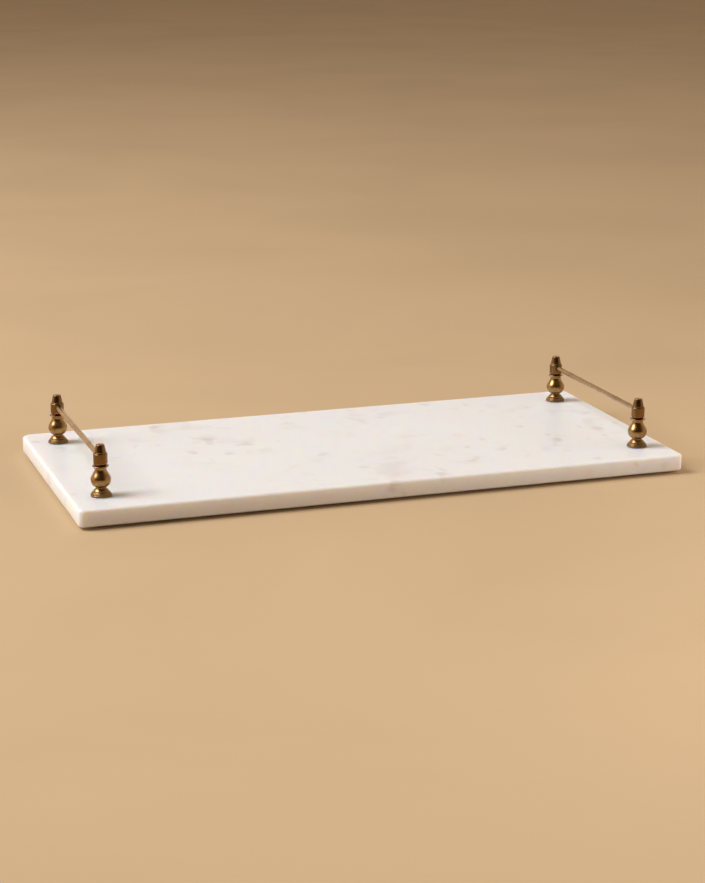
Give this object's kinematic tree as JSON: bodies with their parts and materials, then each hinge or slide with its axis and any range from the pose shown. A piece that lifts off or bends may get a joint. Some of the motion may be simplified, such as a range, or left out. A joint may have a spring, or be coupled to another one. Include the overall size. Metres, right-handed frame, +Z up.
{
  "type": "dresser vanity tray",
  "caption": "Long low marble tray with eased edges, a slim brass gallery rail across each short end on turned vase-shaped posts, and soft pads underneath.",
  "frame": {"origin": "centre of the tray in plan, on the surface that its pads stand on", "axes": "+X along the tray's length, +Y across it, +Z up"},
  "size_m": [0.4572, 0.216, 0.0518],
  "materials": {
    "white_marble": "honed, softly polished",
    "aged_brass": "aged, polished on the high spots",
    "dark_brass": "dark antique patina",
    "satin_brass": "satin, drawn rod",
    "zinc_steel": "bright zinc plate",
    "pad_rubber": "matt"
  },
  "bodies": {
    "root": {"marble_slab": "white_marble", "rail_left": "satin_brass", "rail_right": "satin_brass", "post_base_front_left": "aged_brass", "collar_front_left": "dark_brass", "rail_socket_front_left": "aged_brass", "finial_cap_front_left": "aged_brass", "tie_screw_front_left": "zinc_steel", "screw_washer_front_left": "zinc_steel", "bumper_pad_front_left": "pad_rubber", "post_base_back_left": "aged_brass", "collar_back_left": "dark_brass", "rail_socket_back_left": "aged_brass", "finial_cap_back_left": "aged_brass", "tie_screw_back_left": "zinc_steel", "screw_washer_back_left": "zinc_steel", "bumper_pad_back_left": "pad_rubber", "post_base_back_right": "aged_brass", "collar_back_right": "dark_brass", "rail_socket_back_right": "aged_brass", "finial_cap_back_right": "aged_brass", "tie_screw_back_right": "zinc_steel", "screw_washer_back_right": "zinc_steel", "bumper_pad_back_right": "pad_rubber", "post_base_front_right": "aged_brass", "collar_front_right": "dark_brass", "rail_socket_front_right": "aged_brass", "finial_cap_front_right": "aged_brass", "tie_screw_front_right": "zinc_steel", "screw_washer_front_right": "zinc_steel", "bumper_pad_front_right": "pad_rubber"}
  },
  "joints": []
}
